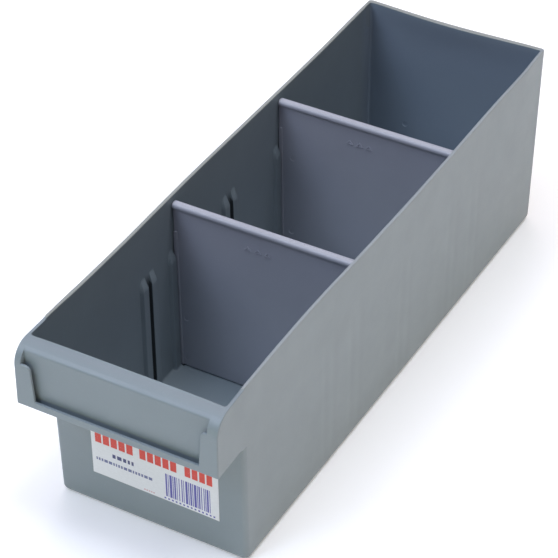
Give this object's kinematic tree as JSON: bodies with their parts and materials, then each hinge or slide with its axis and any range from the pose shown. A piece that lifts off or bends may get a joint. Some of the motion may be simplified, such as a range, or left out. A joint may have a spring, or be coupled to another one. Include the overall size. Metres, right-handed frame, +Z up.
{
  "type": "small parts storage bin",
  "caption": "Long narrow open-topped plastic storage bin with a card-holder hood across its front and lift-out cross dividers standing in ribbed slots.",
  "frame": {"origin": "centre of the overall box in plan, on the surface the bin stands on", "axes": "+X to the right seen from the front, +Y from the hood towards the back wall, +Z up"},
  "size_m": [0.1016, 0.3274, 0.1034],
  "materials": {
    "tray_plastic": "moulded, fine satin",
    "divider_plastic": "moulded, fine satin",
    "label_paper": "coated paper sticker"
  },
  "bodies": {
    "tray": {"tray_body": "tray_plastic", "product_label": "label_paper"},
    "divider_front": {"divider_front": "divider_plastic"},
    "divider_rear": {"divider_rear": "divider_plastic"}
  },
  "joints": [
    {"name": "divider_front_lift", "type": "slide", "parent": "tray", "child": "divider_front", "axis": [0, 0, 1], "range_m": [0, 0.11]},
    {"name": "divider_rear_lift", "type": "slide", "parent": "tray", "child": "divider_rear", "axis": [0, 0, 1], "range_m": [0, 0.11]}
  ]
}
